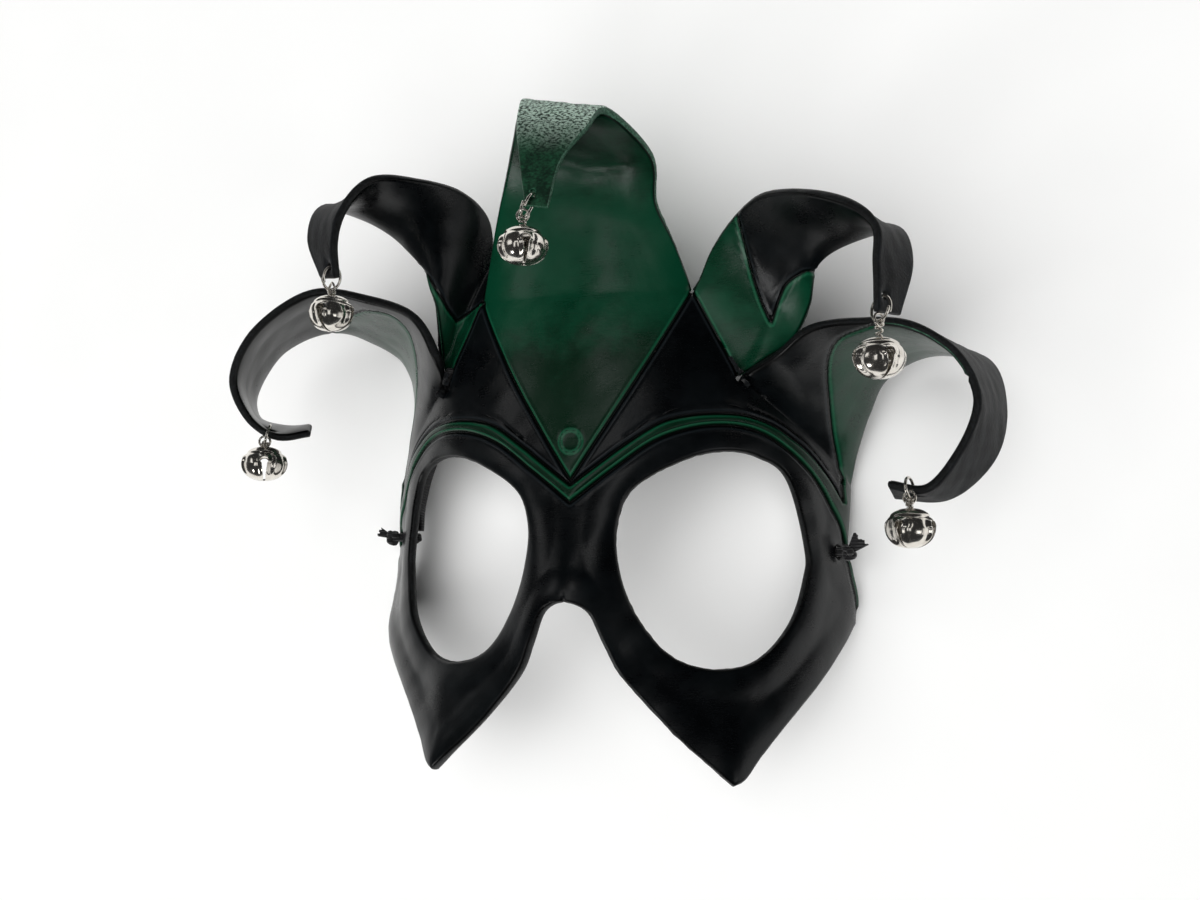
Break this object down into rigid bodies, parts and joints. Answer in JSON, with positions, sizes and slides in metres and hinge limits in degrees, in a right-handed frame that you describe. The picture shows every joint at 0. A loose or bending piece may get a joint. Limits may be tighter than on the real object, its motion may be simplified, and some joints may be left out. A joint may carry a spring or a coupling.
{
  "type": "leather jester mask",
  "caption": "Moulded leather half mask in a jester style, with curled horns that carry jingle bells on wire rings, and a flat strap knotted at the temples.",
  "frame": {"origin": "centre of the footprint of the mask as it lies on its back, on the surface that it lies on; the free strap isn't counted", "axes": "+X to the viewer's right across the face, +Y up the forehead, +Z out of the face, which is up as the mask lies"},
  "size_m": [0.2272, 0.187, 0.0811],
  "materials": {
    "leather": "moulded vegetable-tanned leather painted dark green and black, satin",
    "nickel": "bright nickel plate on pressed sheet and wire",
    "ribbon": "woven black ribbon"
  },
  "bodies": {
    "root": {"mask_leather": "leather", "ring_centre": "nickel", "ring_inner_right": "nickel", "ring_inner_left": "nickel", "ring_outer_right": "nickel", "ring_outer_left": "nickel", "bell_centre": "nickel", "bell_inner_right": "nickel", "bell_inner_left": "nickel", "bell_outer_right": "nickel", "bell_outer_left": "nickel", "knot_right": "ribbon", "knot_left": "ribbon", "strap": "ribbon"}
  },
  "joints": []
}
